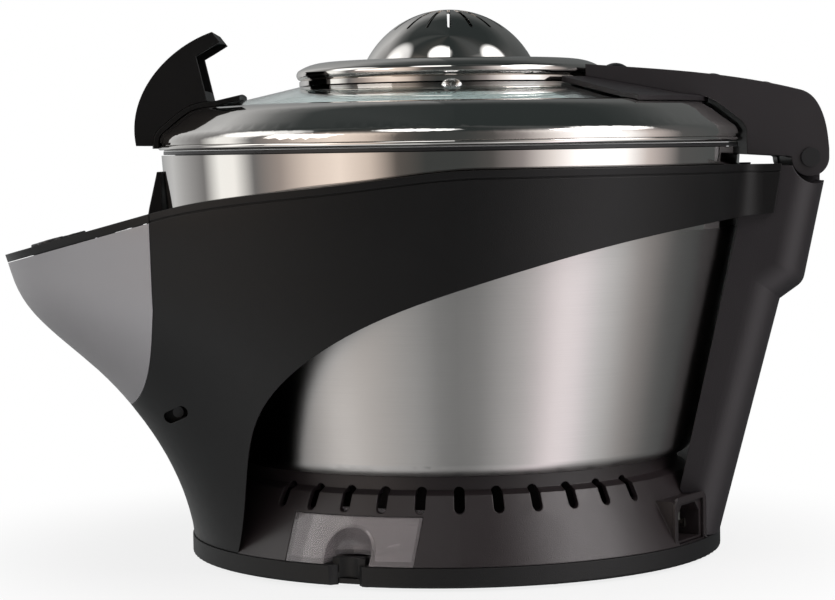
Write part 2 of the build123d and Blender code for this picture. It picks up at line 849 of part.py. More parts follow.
def lid_rim():
    low = lid_low_z()
    outer, inner = rim_curve(0), rim_curve(rim_wall)
    seat_z = glass_z(glass_r) - glass_t - seat_gap
    closing = Polyline(
        (outer @ 1).to_tuple()[:2],
        (glass_r + seat_gap, glass_z(glass_r)),
        (glass_r + seat_gap, seat_z),
        (glass_r - 6, seat_z + 6 * glass_slope),
        (glass_r - 6, seat_z + 6 * glass_slope - rim_wall),
        (glass_r + 1.0, seat_z - rim_wall),
        (inner @ 1).to_tuple()[:2],
    )
    foot = Line((rim_r - rim_wall, low + 3.6), (rim_r, low + 3.6))
    band = revolved_face(make_face([outer] + closing.edges() + [inner, foot]))
    neck = ring(rim_r - 0.7, rim_r - rim_wall - 0.9, low + 1.2, low + 4.2)
    bead = Pos(0, 0, low + bead_r) * Torus(rim_r - bead_r, bead_r)
    return band + neck + bead


def lid_glass():
    inner = hub_hole_r
    return revolved(
        (inner, glass_z(inner)),
        (glass_r, glass_z(glass_r)),
        (glass_r, glass_z(glass_r) - glass_t),
        (inner, glass_z(inner) - glass_t),
    )


def lid_gasket():
    low = lid_low_z()
    return ring(rim_r - 2 * bead_r - seat_gap, rim_r - 9, low - lid_gap + 0.2, low + 3.0)


def hub_top_z():
    return glass_z(hub_r) + hub_rise


def dome_centre_z():
    return hub_top_z() - math.sqrt(dome_r ** 2 - dome_foot_r ** 2)


def top_ring():
    low = glass_z(hub_r) + seat_gap
    top = hub_top_z()
    bore_low_r = math.sqrt(dome_r ** 2 - (top - ring_plate_t - dome_centre_z()) ** 2) + seat_gap
    outline = [
        Polyline((hub_hole_r - 3, top - ring_plate_t), (hub_hole_r - 3, glass_z(hub_hole_r) - glass_t - 3.0),
                 (hub_hole_r - 0.3, glass_z(hub_hole_r) - glass_t - 3.0),
                 (hub_hole_r - 0.3, glass_z(hub_hole_r) + 0.6), (hub_r - 1.4, low + 0.4),
                 (hub_r - 1.4, low + 2.6), (hub_r - 2.2, low + 3.0), (hub_r - 1.0, low + 3.6)),
        ThreePointArc((hub_r - 1.0, low + 3.6), (hub_r, low + 5.8), (hub_r - 1.4, low + 8.2)),
        ThreePointArc((hub_r - 1.4, low + 8.2), (hub_r - 5.0, top - 1.7), (hub_r - 12.0, top)),
        Polyline((hub_r - 12.0, top), (dome_foot_r + seat_gap, top), (bore_low_r, top - ring_plate_t), (hub_hole_r - 3, top - ring_plate_t)),
    ]
    return revolved_face(make_face([e for part in outline for e in part.edges()]))


def hub_nut():
    """Ring screwed on below the glass; it clamps the top ring to it."""
    top = glass_z(hub_hole_r) - glass_t - seat_gap
    return ring(hub_hole_r + nut_w, hub_hole_r, top - nut_h, top - nut_w * glass_slope)


def steam_baffle():
    z = glass_z(hub_hole_r) - glass_t - 2.6
    plate = disc(hub_hole_r - 3.3, z, z + 1.0)
    for i in range(12):
        x, y = polar(44, i * 30)
        plate = plate - Pos(x, y, z) * Cylinder(4, 10)
    return plate


def vent_dome():
    centre_z = dome_centre_z()
    ball = Pos(0, 0, centre_z) * (Sphere(dome_r) - Sphere(dome_r - dome_wall))
    low = hub_top_z() - 2.6
    shell = ball & disc(60, low, low + 60)
    shell = shell + ring(dome_foot_r + 5.5, dome_r - dome_wall - 3.5, low, hub_top_z() - 1.7)
    shell = shell - disc(math.sqrt(dome_r ** 2 - (low - centre_z) ** 2) - dome_wall - 0.5, low - 1, low + 0.6)
    mid = (dome_slot_in_r + dome_slot_out_r) / 2
    slot = extrude(SlotOverall(dome_slot_out_r - dome_slot_in_r, dome_slot_w), amount=60)
    for i in range(dome_slots):
        shell = shell - Rot(0, 0, i * 360 / dome_slots) * Pos(mid, 0, low + 6) * slot
    return shell


def glass_rivet(side):
    """Clear stop on the glass, a flat-footed button that leans with the glass."""
    r = hub_r + 7.0
    head = Pos(0, 0, -2.6) * (Sphere(5.6) & Pos(0, 0, 5.3) * Box(12, 12, 5.4))
    lean = math.degrees(math.atan(glass_slope))
    return Pos(side * r, 0, glass_z(r)) * Rot(0, side * lean, 0) * Pos(0, 0, 0.1) * head


# Lid arm and hinge

def arm_plan():
    rear_y = hinge_y + 20
    taper = (arm_half_front - arm_half_rear) / (hinge_y - arm_front_y)
    rear_half = arm_half_rear - (rear_y - hinge_y) * taper
    return extrude(make_face(Polyline(
        (-arm_half_front, arm_front_y), (arm_half_front, arm_front_y), (rear_half, rear_y), (-rear_half, rear_y),
        close=True)), amount=400)


def arm_crown():
    return Spline((62, 239.4), (97, 236.7), (139, 231.9), (170, 225.6))


def on_arm(x, y):
    """A frame on the arm's upper face above the point x, y."""
    crown, low, high = arm_crown(), 0.0, 1.0
    for i in range(24):
        mid = (low + high) / 2
        low, high = (mid, high) if (crown @ mid).X < y else (low, mid)
    point, along = crown @ low, crown % low
    return Pos(x, y, point.Y) * Rot(math.degrees(math.atan2(along.Y, along.X)), 0, 0)


def lid_arm():
    crown = arm_crown()
    corner = Spline((170, 225.6), (180.0, 216.4), (hinge_y + knuckle_r, hinge_z + 4),
                    tangents=(crown % 1, (0.08, -1)))
    front_low = (144.6, hinge_z + 2.0)
    knuckle = ThreePointArc((hinge_y + knuckle_r, hinge_z), (hinge_y, hinge_z - knuckle_r),
                            (hinge_y - knuckle_r, hinge_z))
    rest = Polyline((hinge_y - knuckle_r, hinge_z), (hinge_y - knuckle_r - 1, hinge_z + 0.6), front_low, (110, 198),
                    (62, 198), (62, 239.4))
    close_rear = Line((hinge_y + knuckle_r, hinge_z + 4), (hinge_y + knuckle_r, hinge_z))
    block = side_prism([crown, corner, close_rear, knuckle] + rest.edges(), half=60) & arm_plan()
    arm = block - lid_envelope(seat_gap + bracket_t)
    slot = hinge_rod(lug_r + cheek_gap + 3.6, lug_half + cheek_gap)
    arm = arm - slot - Pos(0, hinge_y - 3, hinge_z - 12) * Box(2 * (lug_half + cheek_gap), 40, 24)
    for x, y in stud_spots:
        arm = arm - on_arm(x, y) * Pos(0, 0, -stud_stem_l / 2) * Cylinder(stud_stem_r + pin_gap, stud_stem_l + 0.2)
    return arm - hinge_rod(pin_r, 100)


def lid_bracket():
    """Sector plate that screws the arm to the glass and the rim."""
    sheet = lid_envelope(seat_gap + bracket_t) - lid_envelope(seat_gap)
    sector = extrude(make_face(Polyline(
        (0, 0), polar(300, 90 - bracket_span), polar(300, 90 + bracket_span), close=True)), amount=400)
    zone = ring(bracket_out_r, hub_r + bracket_t + 2 * seat_gap, 205, 260)
    return sheet & sector & zone


def arm_stud(x, y):
    """Round-headed screw cap on the arm."""
    ball_r = (stud_r ** 2 + stud_rise ** 2) / (2 * stud_rise)
    head = Pos(0, 0, stud_rise - ball_r) * Sphere(ball_r) & disc(stud_r + 1, 0, stud_rise + 1)
    stem = disc(stud_stem_r, -stud_stem_l, 0.5)
    return on_arm(x, y) * Pos(0, 0, 0.1) * (head + stem)


def hinge_pin():
    return hinge_rod(pin_r - 0.02, arm_half_rear + 0.6)


def pin_cap(side):
    return hinge_rod(cap_r, 0.5, side * (arm_half_rear + 1.1))


# Front lid handle

def handle_saddle():
    sheet = lid_envelope(seat_gap + saddle_t) - lid_envelope(seat_gap)
    zone = Pos(0, -102.7 - 30, 225) * Box(2 * handle_half, 60, 46)
    return sheet & zone


def handle_face(inset):
    """Side outline of the handle; inset thins it for the hollow behind."""
    outer = Spline(
        (-115.6, 258.3 - inset * 1.3),
        (-137.8 + inset * 0.7, 245.1 - inset * 0.8),
        (-151.6 + inset, 225.5 - inset * 0.3),
        (-153.7 + inset, 203.4),
    )
    if inset:
        rest = Polyline((-153.7 + inset, 203.4), (-153.7 + inset, 190), (-90, 190), (-90, 258.3 - inset * 1.3),
                        (-115.6, 258.3 - inset * 1.3))
    else:
        rest = Polyline((-153.7, 203.4), (-110, 203.4), (-118.3, 223.4), (-123.6, 246.5), (-117.5, 250.0),
                        (-111.9, 253.4), (-115.6, 258.3))
    return make_face([outer] + rest.edges())


def lid_handle():
    block = extrude(Plane.YZ * handle_face(0), amount=handle_half, both=True)
    hollow = extrude(Plane.YZ * handle_face(handle_wall), amount=handle_half - handle_wall, both=True)
    foot = block & lid_envelope(seat_gap * 2 + saddle_t + handle_foot_h)
    return (block - hollow + foot) - lid_envelope(seat_gap * 2 + saddle_t)


pieces = {}


def build(node, make):
    pieces[node] = make() if callable(make) else make
    save(pieces[node], node)


def main():
    right_wing, front_shell, frame = housing_parts()
    build("wing_right", right_wing)
    build("wing_left", mirrored(right_wing))
    build("wing_screws", group([turned_screw(0), mirrored(turned_screw(0))]))
    build("front_shell", front_shell)
    build("panel_frame", panel_frame(frame))
    build("control_panel", control_panel)
    build("display_window", display_window)
    build("control_board", control_board)
    for name, x, y in button_spots():
        build(f"button_{name}", button_solid(x, y))
    build("pot_shell", pot_shell)
    build("cooking_pot", cooking_pot)
    build("base_skirt", base_skirt)
    build("base_ring", base_ring)
    build("bottom_plate", bottom_plate)
    build("feet", group([foot(turn) for turn in foot_turns]))
    build("base_screws", group([base_screw(turn) for turn in corner_turns]))
    build("drip_cup", drip_cup)
    build("cup_tray", cup_tray)
    build("inlet_socket", inlet_socket)
    build("inlet_pins", inlet_pins)
    build("heat_shield", heat_shield)
    build("heater_plate", heater_plate)
    build("heating_element", heating_element)
    build("sensor_plunger", sensor_plunger)
    build("sensor_spring", sensor_spring)
    build("power_board", power_board)
    build("rear_column", rear_column)
    build("column_bracket", column_bracket)
    build("hinge_pin", hinge_pin)
    build("pin_caps", group([pin_cap(-1), pin_cap(1)]))
    build("lid_arm", lid_arm)
    build("arm_studs", group([arm_stud(x, y) for x, y in stud_spots]))
    build("lid_bracket", lid_bracket)
    build("lid_rim", lid_rim)
    build("lid_glass", lid_glass)
    build("lid_gasket", lid_gasket)
    build("top_ring", top_ring)
    build("hub_nut", hub_nut)
    build("steam_baffle", steam_baffle)
    build("vent_dome", vent_dome)
    build("glass_rivets", group([glass_rivet(-1), glass_rivet(1)]))
    build("lid_handle", lid_handle)
    build("handle_saddle", handle_saddle)


main()
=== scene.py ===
import bpy
import bmesh
import math
from mathutils import Matrix, Vector


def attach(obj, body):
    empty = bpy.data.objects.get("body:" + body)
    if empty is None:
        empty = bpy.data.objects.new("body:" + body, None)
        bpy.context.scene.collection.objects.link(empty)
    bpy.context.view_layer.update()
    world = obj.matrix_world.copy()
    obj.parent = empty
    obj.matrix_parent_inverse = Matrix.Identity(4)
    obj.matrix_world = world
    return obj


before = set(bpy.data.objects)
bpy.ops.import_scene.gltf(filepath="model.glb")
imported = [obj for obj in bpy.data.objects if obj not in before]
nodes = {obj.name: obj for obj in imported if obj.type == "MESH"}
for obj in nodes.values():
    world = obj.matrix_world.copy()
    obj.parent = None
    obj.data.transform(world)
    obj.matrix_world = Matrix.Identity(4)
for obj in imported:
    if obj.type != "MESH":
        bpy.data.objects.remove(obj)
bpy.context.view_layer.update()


potY = 0.0189  # the pot's axis, behind the middle of the whole cooker
potCentre = Vector((0, potY, 0))
print("frame loaded:", len(nodes), "nodes")


# Shared helpers

def mathNode(tree, operation, first, second=None, clamp=False):
    node = tree.nodes.new("ShaderNodeMath")
    node.operation = operation
    node.use_clamp = clamp
    for index, value in enumerate((first, second)):
        if isinstance(value, (int, float)):
            node.inputs[index].default_value = value
        elif value is not None:
            tree.links.new(value, node.inputs[index])
    return node.outputs[0]


def metres(x, y, z):
    return Vector((x / 1000, y / 1000, z / 1000))


# Camera, lights, floor

photoCamera = {"place": (1.243, 0.0013, 0.200), "pitch": 3.487, "roll": 0.95, "lens": 107.2, "film": 36.0,
               "nearest": 0.05}


def makeCamera():
    data = bpy.data.cameras.new("photoCamera")
    data.lens = photoCamera["lens"]
    data.sensor_width = photoCamera["film"]
    data.clip_start = photoCamera["nearest"]
    camera = bpy.data.objects.new("photoCamera", data)
    bpy.context.scene.collection.objects.link(camera)
    pitch, roll = math.radians(photoCamera["pitch"]), math.radians(photoCamera["roll"])
    forward = Vector((-math.cos(pitch), 0, -math.sin(pitch)))
    right = Vector((0, 1, 0))
    up = Vector((-math.sin(pitch), 0, math.cos(pitch)))
    turnedRight = right * math.cos(roll) - up * math.sin(roll)
    turnedUp = right * math.sin(roll) + up * math.cos(roll)
    turn = Matrix((turnedRight, turnedUp, -forward)).transposed().to_4x4()
    camera.matrix_world = Matrix.Translation(photoCamera["place"]) @ turn
    bpy.context.scene.camera = camera


studio = {
    "ambient": 0.42,
    "lamps": [
        # name, place, aim, size, power, colour
        ("softbox", (0.62, 1.25, 1.25), (0, 0.02, 0.12), (0.9, 0.45), 9.5, (1.0, 0.93, 0.94)),
        ("fill", (0.9, -1.6, 1.0), (0, 0, 0.12), (1.0, 0.9), 4.0, (1.0, 0.97, 0.94)),
    ],
    # what the metal mirrors near the horizon, by degrees round from the camera: level, red, green, blue
    "around": [
        (-180, 0.10, (1, 1, 1)), (-134, 0.60, (1, 1, 1)), (-104, 0.20, (1, 0.95, 0.95)),
        (-93, 1.15, (1, 1, 0.97)), (-84, 1.15, (1, 0.99, 0.96)), (-73, 0.16, (1, 0.93, 0.93)),
        (-60, 0.38, (1, 0.84, 0.76)), (-46, 0.90, (1, 0.85, 0.75)), (-34, 1.10, (1, 0.86, 0.76)),
        (-22, 0.78, (1, 0.84, 0.73)), (-11, 0.10, (1, 0.80, 0.70)), (0, 0.03, (1, 0.90, 0.85)),
        (15, 0.03, (1, 0.92, 0.88)), (25, 0.07, (1, 0.85, 0.80)), (37, 0.32, (1, 0.88, 0.86)),
        (49, 1.0, (1, 0.93, 0.90)), (60, 1.6, (1, 0.97, 0.97)), (78, 1.6, (1, 1, 1)),
        (92, 0.70, (1, 0.88, 0.84)), (110, 0.08, (1, 0.92, 0.92)), (135, 0.06, (1, 1, 1)),
        (180, 0.10, (1, 1, 1)),
    ],
    # the same below the horizon, which the flared shell mirrors
    "under": [
        (-180, 0.05, (1, 1, 1)), (-110, 0.20, (1, 1, 1)), (-70, 0.60, (1, 1, 1)), (-56, 0.90, (1, 1, 1)),
        (-47, 1.30, (1, 1, 1)), (-38, 0.72, (1, 1, 1)), (-4, 0.70, (1, 1, 1)), (1, 0.34, (1, 1, 1)),
        (16, 0.34, (1, 1, 1)), (26, 0.50, (1, 1, 1)), (33, 0.78, (1, 1, 1)), (49, 0.78, (1, 1, 1)),
        (53, 1.55, (1, 0.86, 0.93)), (60, 1.60, (1, 0.95, 0.95)), (68, 1.55, (1, 0.86, 0.94)),
        (73, 0.85, (0.98, 0.97, 1)), (81, 0.55, (1, 1, 1)), (93, 0.34, (1, 1, 1)),
        (108, 0.24, (1, 1, 1)), (124, 0.15, (1, 1, 1)), (150, 0.05, (1, 1, 1)), (180, 0.05, (1, 1, 1)),
    ],
    # how the bands fade with height, and the dim ceiling
    "rise": [(-90, 1.0), (36, 1.0), (48, 0.25), (56, 0.04), (90, 0.02)],
    "overhead": (0.030, 0.037, 0.037),
    # soft boxes overhead that the dome, ring and rim mirror:
    # azimuth, height, inner and outer half angle, level
    "patches": [(-20, 61, 9, 14, 1.9), (82, 44, 10, 17, 1.9), (-95, 40, 12, 20, 0.9)],
    # between these heights the lower list gives way to the upper one
    "turnDown": (-19.0, -12.0),
    # turns both lists round the upright axis
    "twist": 10.0,
}


def makeLamp(name, place, aim, size, power, colour):
    data = bpy.data.lights.new(name, "AREA")
    data.shape = "RECTANGLE"
    data.size, data.size_y = size
    data.energy = power
    data.color = colour
    lamp = bpy.data.objects.new(name, data)
    bpy.context.scene.collection.objects.link(lamp)
    lamp.location = place
    lamp.rotation_euler = (Vector(aim) - Vector(place)).to_track_quat("-Z", "Y").to_euler()


def stopsRamp(tree, factor, stops, low, high):
    ramp = tree.nodes.new("ShaderNodeValToRGB")
    ramp.color_ramp.interpolation = "LINEAR"
    marks = ramp.color_ramp.elements
    for index, (degrees, level, tint) in enumerate(stops):
        if index in (0, len(stops) - 1):
            mark = marks[0 if index == 0 else len(marks) - 1]
        else:
            mark = marks.new((degrees - low) / (high - low))
        mark.color = tuple(level * part for part in tint) + (1,)
    tree.links.new(factor, ramp.inputs["Fac"])
    return ramp.outputs["Color"]


def softPatch(tree, direction, patch):
    azimuth, height, inner, outer, level = patch
    turn, climb = math.radians(azimuth), math.radians(height)
    near = tree.nodes.new("ShaderNodeVectorMath")
    near.operation = "DOT_PRODUCT"
    tree.links.new(direction, near.inputs[0])
    flat = math.cos(climb)
    near.inputs[1].default_value = (flat * math.cos(turn), flat * math.sin(turn), math.sin(climb))
    edge = tree.nodes.new("ShaderNodeMapRange")
    edge.interpolation_type = "SMOOTHSTEP"
    edge.inputs["From Min"].default_value = math.cos(math.radians(outer))
    edge.inputs["From Max"].default_value = math.cos(math.radians(inner))
    edge.inputs["To Max"].default_value = level
    tree.links.new(near.outputs["Value"], edge.inputs["Value"])
    return edge.outputs[0]


def mirroredRoom(tree):
    # what polished pieces mirror: soft boxes of a studio, by direction
    coord = tree.nodes.new("ShaderNodeTexCoord")
    split = tree.nodes.new("ShaderNodeSeparateXYZ")
    tree.links.new(coord.outputs["Generated"], split.inputs[0])
    turn = mathNode(tree, "ARCTAN2", split.outputs["Y"], split.outputs["X"])
    turn = mathNode(tree, "DIVIDE", turn, 2 * math.pi)
    turn = mathNode(tree, "ADD", turn, 0.5 + studio["twist"] / 360)
    climb = mathNode(tree, "DIVIDE", mathNode(tree, "ARCSINE", split.outputs["Z"]), math.pi)
    climb = mathNode(tree, "ADD", climb, 0.5)
    around = stopsRamp(tree, turn, studio["around"], -180, 180)
    under = stopsRamp(tree, turn, studio["under"], -180, 180)
    fading = [(degrees, level, (1, 1, 1)) for degrees, level in studio["rise"]]
    rise = stopsRamp(tree, climb, fading, -90, 90)
    low, high = studio["turnDown"]
    down = tree.nodes.new("ShaderNodeMapRange")
    down.inputs["From Min"].default_value = (low + 90) / 180
    down.inputs["From Max"].default_value = (high + 90) / 180
    tree.links.new(climb, down.inputs["Value"])
    choose = tree.nodes.new("ShaderNodeMix")
    choose.data_type = "RGBA"  # its colours are inputs 6 and 7 and output 2
    tree.links.new(down.outputs[0], choose.inputs[0])
    tree.links.new(under, choose.inputs[6])
    tree.links.new(around, choose.inputs[7])
    fade = tree.nodes.new("ShaderNodeVectorMath")
    fade.operation = "MULTIPLY_ADD"
    tree.links.new(choose.outputs[2], fade.inputs[0])
    tree.links.new(rise, fade.inputs[1])
    fade.inputs[2].default_value = studio["overhead"]
    room = fade.outputs[0]
    for patch in studio["patches"]:
        lit = tree.nodes.new("ShaderNodeVectorMath")
        lit.operation = "ADD"
        tree.links.new(room, lit.inputs[0])
        tree.links.new(softPatch(tree, coord.outputs["Generated"], patch), lit.inputs[1])
        room = lit.outputs[0]
    return room


def straightRays(tree, path):
    # the camera's own rays, and those that go on through clear pieces
    return mathNode(tree, "MAXIMUM", path.outputs["Is Camera Ray"], path.outputs["Is Transmission Ray"])


def makeWorld():
    world = bpy.data.worlds.new("studioWorld")
    bpy.context.scene.world = world
    world.use_nodes = True
    tree = world.node_tree
    tree.nodes.clear()
    out = tree.nodes.new("ShaderNodeOutputWorld")
    path = tree.nodes.new("ShaderNodeLightPath")
    seen = tree.nodes.new("ShaderNodeBackground")
    seen.inputs["Color"].default_value = (1, 1, 1, 1)
    mirrored = tree.nodes.new("ShaderNodeBackground")
    soft = tree.nodes.new("ShaderNodeBackground")
    soft.inputs["Color"].default_value = (1, 1, 1, 1)
    soft.inputs["Strength"].default_value = studio["ambient"]
    glossyMix = tree.nodes.new("ShaderNodeMixShader")
    cameraMix = tree.nodes.new("ShaderNodeMixShader")
    link = tree.links.new
    link(mirroredRoom(tree), mirrored.inputs["Color"])
    link(path.outputs["Is Glossy Ray"], glossyMix.inputs["Fac"])
    link(soft.outputs[0], glossyMix.inputs[1])
    link(mirrored.outputs[0], glossyMix.inputs[2])
    link(straightRays(tree, path), cameraMix.inputs["Fac"])
    link(glossyMix.outputs[0], cameraMix.inputs[1])
    link(seen.outputs[0], cameraMix.inputs[2])
    link(cameraMix.outputs[0], out.inputs["Surface"])


floorValues = {"half": 6.0, "albedo": 0.86, "roughness": 0.9, "specular": 0.1, "near": 0.14, "far": 0.30,
               "glow": 0.82}


def makeFloor():
    mesh = bpy.data.meshes.new("floor")
    half = floorValues["half"]
    corners = [(-half, -half, 0), (half, -half, 0), (half, half, 0), (-half, half, 0)]
    mesh.from_pydata(corners, [], [(0, 1, 2, 3)])
    floor = bpy.data.objects.new("floor", mesh)
    bpy.context.scene.collection.objects.link(floor)
    paint = bpy.data.materials.new("paleFloor")
    paint.use_nodes = True
    tree = paint.node_tree
    shader = tree.nodes["Principled BSDF"]
    shader.inputs["Base Color"].default_value = (floorValues["albedo"],) * 3 + (1,)
    shader.inputs["Roughness"].default_value = floorValues["roughness"]
    shader.inputs["Specular IOR Level"].default_value = floorValues["specular"]
    # the white paper that the camera sees, fading in round the cooker; mirrors see the room through the floor
    glow = tree.nodes.new("ShaderNodeEmission")
    glow.inputs["Strength"].default_value = 1.0
    coord = tree.nodes.new("ShaderNodeTexCoord")
    length = tree.nodes.new("ShaderNodeVectorMath")
    length.operation = "LENGTH"
    tree.links.new(coord.outputs["Object"], length.inputs[0])
    fade = tree.nodes.new("ShaderNodeMapRange")
    fade.interpolation_type = "SMOOTHSTEP"
    fade.inputs["From Min"].default_value = floorValues["near"]
    fade.inputs["From Max"].default_value = floorValues["far"]
    fade.inputs["To Min"].default_value = floorValues["glow"]
    tree.links.new(length.outputs["Value"], fade.inputs["Value"])
    path = tree.nodes.new("ShaderNodeLightPath")
    share = mathNode(tree, "MULTIPLY", straightRays(tree, path), fade.outputs[0])
    paper = tree.nodes.new("ShaderNodeMixShader")
    tree.links.new(share, paper.inputs["Fac"])
    tree.links.new(shader.outputs[0], paper.inputs[1])
    tree.links.new(glow.outputs[0], paper.inputs[2])
    clear = tree.nodes.new("ShaderNodeBsdfTransparent")
    whole = tree.nodes.new("ShaderNodeMixShader")
    tree.links.new(path.outputs["Is Glossy Ray"], whole.inputs["Fac"])
    tree.links.new(paper.outputs[0], whole.inputs[1])
    tree.links.new(clear.outputs[0], whole.inputs[2])
    tree.links.new(whole.outputs[0], tree.nodes["Material Output"].inputs["Surface"])
    floor.data.materials.append(paint)


makeCamera()
makeWorld()
for lamp in studio["lamps"]:
    makeLamp(*lamp)
makeFloor()
bpy.context.scene.view_settings.view_transform = "Standard"
print("camera, lamps and floor are set")


# Shared shader effects

noises = {
    # scale, detail, roughness; where there is no scale, the group's own input gives it
    "grain": (None, 2.0, 0.55), "mottle": (9.0, 4.0, 0.55), "scuff": (60.0, 5.0, 0.7),
    "lines": (1.0, 4.0, 0.7), "patch": (7.0, 3.0, 0.55), "smudge": (None, 5.0, 0.62),
}
depths = {"patchRough": 0.08, "smudgeFloor": 0.46, "smudgeShade": 0.35}


def startGroup(name, inputs, outputs):
    tree = bpy.data.node_groups.new(name, "ShaderNodeTree")
    for label, value in inputs:
        socket = tree.interface.new_socket(name=label, in_out="INPUT", socket_type="NodeSocketFloat")
        socket.default_value = value
    for label in outputs:
        tree.interface.new_socket(name=label, in_out="OUTPUT", socket_type="NodeSocketFloat")
    return tree, tree.nodes.new("NodeGroupInput"), tree.nodes.new("NodeGroupOutput")


def noiseNode(tree, vector, kind, scaleInput=None):
    scale, detail, roughness = noises[kind]
    node = tree.nodes.new("ShaderNodeTexNoise")
    node.inputs["Detail"].default_value = detail
    node.inputs["Roughness"].default_value = roughness
    if scale is None:
        tree.links.new(scaleInput, node.inputs["Scale"])
    else:
        node.inputs["Scale"].default_value = scale
    tree.links.new(vector, node.inputs["Vector"])
    return node.outputs["Fac"]


def swing(tree, noise, amount):
    # the noise as a value above and below nought
    return mathNode(tree, "MULTIPLY", mathNode(tree, "SUBTRACT", noise, 0.5), amount)


def mouldGrainGroup():
    tree, start, end = startGroup("mouldGrain", [("Grain", 2200.0), ("Mottle", 0.10), ("Wear", 0.05)],
                                  ["Height", "Shade", "Rough"])
    coord = tree.nodes.new("ShaderNodeTexCoord").outputs["Object"]
    fine = noiseNode(tree, coord, "grain", start.outputs["Grain"])
    shade = swing(tree, noiseNode(tree, coord, "mottle"), start.outputs["Mottle"])
    worn = swing(tree, noiseNode(tree, coord, "scuff"), start.outputs["Wear"])
    tree.links.new(fine, end.inputs["Height"])
    tree.links.new(mathNode(tree, "ADD", shade, 1.0), end.inputs["Shade"])
    tree.links.new(mathNode(tree, "ADD", worn, shade), end.inputs["Rough"])
    return tree


def brushedGroup():
    tree, start, end = startGroup("brushedLines", [("Lines", 900.0), ("Stretch", 5.0), ("Mottle", 0.12)],
                                  ["Height", "Shade", "Rough"])
    coord = tree.nodes.new("ShaderNodeTexCoord").outputs["Object"]
    centre = tree.nodes.new("ShaderNodeMapping")  # turns the pattern round the pot's axis
    centre.inputs["Location"].default_value = (0, -potY, 0)
    tree.links.new(coord, centre.inputs["Vector"])
    split = tree.nodes.new("ShaderNodeSeparateXYZ")
    tree.links.new(centre.outputs[0], split.inputs[0])
    angle = mathNode(tree, "ARCTAN2", split.outputs["Y"], split.outputs["X"])
    joined = tree.nodes.new("ShaderNodeCombineXYZ")
    link = tree.links.new
    link(mathNode(tree, "MULTIPLY", angle, start.outputs["Stretch"]), joined.inputs["X"])
    link(mathNode(tree, "MULTIPLY", split.outputs["Z"], start.outputs["Lines"]), joined.inputs["Y"])
    lines = noiseNode(tree, joined.outputs[0], "lines")
    shade = swing(tree, lines, start.outputs["Mottle"])
    rough = swing(tree, noiseNode(tree, centre.outputs[0], "patch"), depths["patchRough"])
    link(lines, end.inputs["Height"])
    link(mathNode(tree, "ADD", shade, 1.0), end.inputs["Shade"])
    link(rough, end.inputs["Rough"])
    return tree


def smudgeGroup():
    tree, start, end = startGroup("handledSmudges", [("Amount", 0.06), ("Size", 14.0)],
                                  ["Rough", "Shade"])
    coord = tree.nodes.new("ShaderNodeTexCoord").outputs["Object"]
    soft = noiseNode(tree, coord, "smudge", start.outputs["Size"])
    patch = mathNode(tree, "SUBTRACT", soft, depths["smudgeFloor"], clamp=True)
    rough = mathNode(tree, "MULTIPLY", patch, start.outputs["Amount"])
    tree.links.new(rough, end.inputs["Rough"])
    dim = mathNode(tree, "MULTIPLY", rough, depths["smudgeShade"])
    tree.links.new(mathNode(tree, "SUBTRACT", 1.0, dim), end.inputs["Shade"])
    return tree


effects = {"mould": mouldGrainGroup(), "brushed": brushedGroup(), "smudge": smudgeGroup()}


def placeGroup(tree, kind, values):
    node = tree.nodes.new("ShaderNodeGroup")
    node.node_tree = effects[kind]
    for label, value in values.items():
        node.inputs[label].default_value = value
    return node


# Materials

finishes = {
    "satinBlack": {"colour": (0.0042, 0.0040, 0.0043), "roughness": 0.40, "grain": 2600.0, "bump": 0.05,
                   "specular": 0.30},
    # painted sheen: the same black plastic as the wings, made lighter and purple so the column looks lit from
    # the side
    "columnBlackPaintedSheen": {"colour": (0.0200, 0.0170, 0.0195), "roughness": 0.42, "grain": 2600.0,
                    "bump": 0.05, "specular": 0.45},
    # painted sheen: black plastic made lighter and warmer to stand in for the skirt's glossy highlights
    "baseBlackPaintedSheen": {"colour": (0.0230, 0.0178, 0.0190), "roughness": 0.33, "grain": 2400.0, "bump": 0.05,
                  "specular": 0.45},
    "ringBlack": {"colour": (0.006, 0.006, 0.0065), "roughness": 0.5, "grain": 2000.0, "bump": 0.08,
                  "specular": 0.35},
    # painted sheen: black plastic made lighter and purple so the arm looks as if it mirrors light
    "armBlackPaintedSheen": {"colour": (0.0190, 0.0162, 0.0185), "roughness": 0.38, "grain": 2600.0, "bump": 0.04,
                 "specular": 0.45},
    "glossBlack": {"colour": (0.008, 0.0085, 0.010), "roughness": 0.12, "grain": 2600.0, "bump": 0.01,
                   "specular": 0.5},
    "keyBlack": {"colour": (0.030, 0.030, 0.032), "roughness": 0.25, "grain": 2600.0, "bump": 0.02,
                 "specular": 0.5},
    "silverPaint": {"colour": (0.43, 0.42, 0.435), "roughness": 0.36, "grain": 5200.0, "bump": 0.05,
                    "specular": 0.5, "metallic": 0.35},
    "boardGreen": {"colour": (0.02, 0.10, 0.05), "roughness": 0.4, "grain": 1800.0, "bump": 0.03,
                   "specular": 0.5},
    "siliconeGrey": {"colour": (0.42, 0.42, 0.41), "roughness": 0.5, "grain": 1500.0, "bump": 0.04,
                     "specular": 0.4},
    "footRubber": {"colour": (0.02, 0.02, 0.02), "roughness": 0.8, "grain": 1200.0, "bump": 0.15,
                   "specular": 0.3},
    "symbolWhite": {"colour": (0.55, 0.56, 0.57), "roughness": 0.4, "grain": 3000.0, "bump": 0.01,
                    "specular": 0.4, "edge": 0.0001},
    "greenEdge": {"colour": (0.02, 0.20, 0.15), "roughness": 0.15, "grain": 1500.0, "bump": 0.0,
                  "specular": 0.5, "edge": 0.0001},
    "potCoating": {"colour": (0.025, 0.025, 0.027), "roughness": 0.3, "grain": 1600.0, "bump": 0.06,
                   "specular": 0.5},
}

